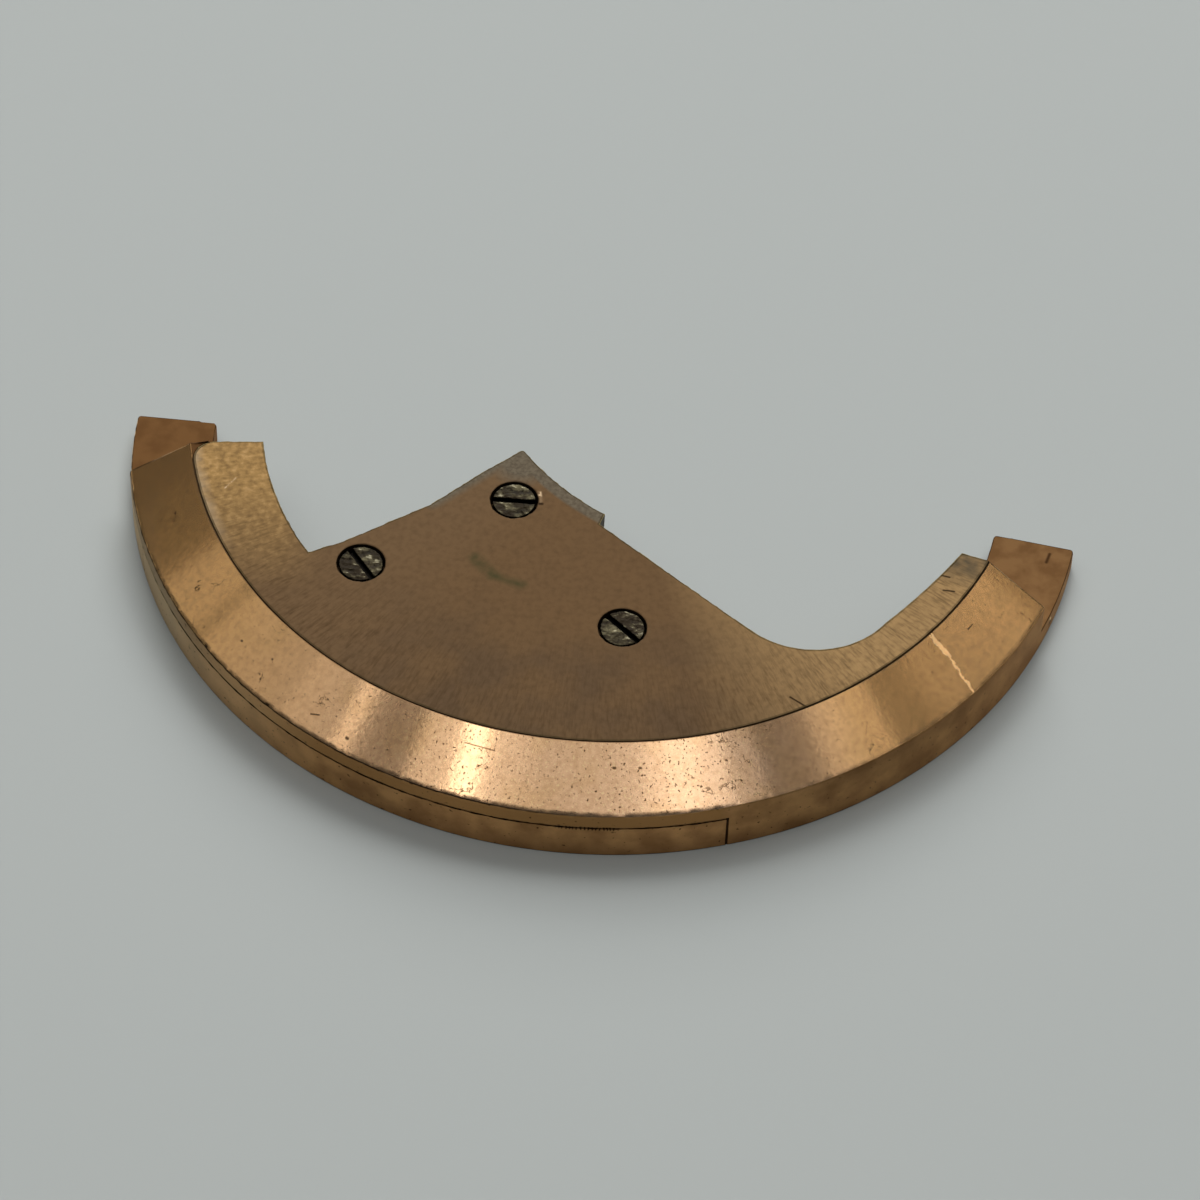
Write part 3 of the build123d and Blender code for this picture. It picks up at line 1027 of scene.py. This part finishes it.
cut((0, 0, head_bottom), (0, 0, 1))
pick(
    screw,
    "FACE",
    lambda face: abs(face.normal.z) < 0.5 and face.calc_center_median().z > head_bottom,
)
bpy.ops.mesh.extrude_region_shrink_fatten(
    TRANSFORM_OT_shrink_fatten={"value": head_radius - thread_radius}
)
tidy_shell()
bpy.ops.mesh.primitive_cube_add(size=1, location=(0, 0, head_top))
slot_block = bpy.context.object
slot_block.scale = (4 * head_radius, slot_width, 2 * slot_depth)
bpy.ops.object.transform_apply(location=True, scale=True)
apply(screw, "BOOLEAN", operation="DIFFERENCE", solver="EXACT", object=slot_block)
bpy.data.objects.remove(slot_block)
apply(
    screw,
    "BEVEL",
    width=head_rounding,
    segments=rounding_segments,
    limit_method="ANGLE",
    angle_limit=head_angle,
    use_clamp_overlap=False,
)
bpy.ops.object.mode_set(mode="EDIT")
cells = round(head_radius / head_cell)
for cell in range(-cells, cells + 1):
    cut((cell * head_cell, 0, 0), (1, 0, 0))
    cut((0, cell * head_cell, 0), (0, 1, 0))
tidy_shell()

# Burnt screw steel: a near-black oxide, rubbed grey where a blade slipped, black grease in the slot, and
# painted shade at its floor.
steel = new_finish("burnt_screw_steel")
place = place_in_mm(steel)
height = add(steel, "SeparateXYZ", {0: place}).node.outputs["Z"]
slipped = add(steel, "VectorMath", {0: place, 1: (0.5, 1.0, 1.0)}, operation="MULTIPLY")
score = add(steel, "TexNoise", {"Vector": slipped, "Scale": 1 / 0.13, "Detail": 4.0})
colour = tinted(steel, "#15120c", "#554f3b", score, 0.38, 0.66)
colour = tinted(steel, colour, "#7f7965", score, 0.6, 0.68)
grease = add(steel, "TexNoise", {"Vector": place, "Scale": 1 / 0.4, "Detail": 3.0})
limits = {"From Min": 0.44, "From Max": 0.56, "To Min": 0.1, "To Max": 0.8}
grease = add(steel, "MapRange", {"Value": grease, **limits})
smears = (
    ((-6.85, -5.55, 2.56), (-6.3, -6.05, 2.56), 0.12, 0.3),
    ((-2.7, -3.05, 2.56), (-2.25, -3.3, 2.56), 0.1, 0.18),
    ((-2.95, -3.3, 2.56), (-2.5, -3.7, 2.56), 0.05, 0.12),
    ((0.55, -7.0, 2.56), (1.1, -7.45, 2.56), 0.28, 0.15),
)
grease = scratches(steel, place, smears, grease)
ragged = add(steel, "MapRange", {"Value": score, "From Min": 0.66, "From Max": 0.5, "To Min": 0.35})
colour = tinted_where(steel, colour, "#1d1811", grease, ragged)
# Painted shade: the slot darkens towards its floor.
colour = tinted(steel, colour, "#0d0b09", height, 2.53, 2.45)
bump = add(steel, "Bump", {"Strength": 1.0, "Distance": 0.02 * mm, "Height": score})
close_finish(steel, Base_Color=colour, Metallic=1.0, Roughness=0.38, Normal=bump)

burrs = bpy.data.textures.new("screw_burrs", "CLOUDS")
burrs.noise_scale = burr_size
burrs.noise_depth = 2
for name, (center, slot_direction) in web_screws.items():
    head = screw.copy()
    head.data = screw.data.copy()
    head.name = head.data.name = name + "_steel"
    bpy.context.scene.collection.objects.link(head)
    take(head)
    head.rotation_euler.z = math.radians(slot_direction)
    head.location = center
    bpy.ops.object.transform_apply(location=True, rotation=True)
    top = head.vertex_groups.new(name="top")
    top.add([v.index for v in head.data.vertices if v.co.z > head_top - burr_reach], 1.0, "REPLACE")
    apply(
        head,
        "DISPLACE",
        texture=burrs,
        texture_coords="LOCAL",
        strength=burr_height,
        mid_level=1.0,
        direction="Z",
        vertex_group="top",
    )
    smooth(head)
    hand_over(head, name, steel)
bpy.data.objects.remove(screw)

# Floor
# A plain table top, painted a pale grey-green and matt, which keeps the part's soft shadow. It lies a hair
# below the part.
floor_size = 2
floor_gap = 0.005 * mm
bpy.ops.object.select_all(action="DESELECT")
bpy.ops.mesh.primitive_plane_add(size=floor_size, location=(0, 0, -floor_gap))
floor = bpy.context.object
floor.name = "floor"
table_top = new_finish("pale_table_top")
close_finish(table_top, Base_Color=linear("#c1c6c3"), Roughness=0.8)
floor.data.materials.append(table_top)

# Light
# Soft boxes behind the part, above its sides and in front of it light the table and throw the soft shadow
# forwards. Narrow boxes overhead give the bevel its bands, each one placed where the bevel mirrors it.
lamp_distance = 0.6
low_tilt = 22
high_tilt = 37
sky_strength = 0.05


def panel(name, centre, across, along, brightness):
    """Adds an area lamp at a place, across and along the two ways that are given."""
    bpy.ops.object.light_add(type="AREA", location=centre)
    lamp = bpy.context.object
    lamp.name = name
    facing = centre.normalized()
    side = (across - facing * across.dot(facing)).normalized()
    lamp.rotation_mode = "QUATERNION"
    lamp.rotation_quaternion = Matrix((side, facing.cross(side), facing)).transposed().to_quaternion()
    lamp.data.shape = "RECTANGLE"
    lamp.data.size = across.length
    lamp.data.size_y = along.length
    lamp.data.energy = brightness * math.pi * across.length * along.length


def sky_box(name, azimuth, elevation, width, height, brightness):
    """Adds a lamp in a direction, with a width and a height in degrees."""
    rise = math.radians(elevation)
    centre = polar(math.cos(rise), azimuth, math.sin(rise)) * lamp_distance
    wide, high = (2 * lamp_distance * math.tan(math.radians(span / 2)) for span in (width, height))
    upright = polar(-math.sin(rise), azimuth, math.cos(rise)) * high
    panel(name, centre, polar(wide, azimuth + 90), upright, brightness)


def mirrored(degrees, tilt):
    """Direction that a facet of the bevel, at an angle and with a tilt, mirrors to the camera."""
    normal = polar(math.sin(math.radians(tilt)), degrees, math.cos(math.radians(tilt)))
    return (2 * normal.dot(to_camera) * normal - to_camera).normalized() * lamp_distance


def band_box(name, start, end, brightness):
    """Adds a lamp that the bevel mirrors from one angle to another."""
    half, tilt = (start + end) / 2, (low_tilt + high_tilt) / 2
    across = mirrored(end, tilt) - mirrored(start, tilt)
    along = mirrored(half, high_tilt) - mirrored(half, low_tilt)
    panel(name, mirrored(half, tilt), across, along, brightness)


for box in (
    ("window", 90, 32, 40, 24, 3.65),
    ("panel_high", 90, 57, 25, 24, 4.65),
    ("panel_left", 135, 57, 25, 24, 0.64),
    ("panel_right", 45, 57, 25, 24, 2.45),
    ("panel_front", 300, 57, 40, 24, 0.17),
):
    sky_box(*box)
for box in (
    ("band_far_left", 192, 205, 0.045),
    ("band_left_low", 204.4, 213.2, 0.37),
    ("band_left", 213.8, 229, 0.43),
    ("band_left_high", 228.5, 236, 0.55),
    ("streak_left", 236.4, 239.1, 1.3),
    ("band_left_dark", 239, 246, 0.21),
    ("band_middle_left", 246, 261.0, 0.96),
    ("streak_middle_left", 252.2, 255.6, 2.3),
    ("band_middle", 259.5, 276.2, 0.7),
    ("band_middle_right", 275.2, 287.4, 1.22),
    ("band_middle_edge", 287.4, 290.8, 0.42),
    ("streak_middle_right", 278.5, 283.5, 0.5),
    ("band_right", 298.5, 308.4, 0.46),
    ("streak_right", 301, 303.5, 0.2),
    ("band_far_right", 314.2, 334.5, 0.155),
):
    band_box(*box)

world = bpy.data.worlds.new("studio")
bpy.context.scene.world = world
world.use_nodes = True
world.node_tree.nodes.clear()
background = add(world, "Background", {"Color": (1, 1, 1, 1), "Strength": sky_strength})
add(world, "OutputWorld", {"Surface": background})
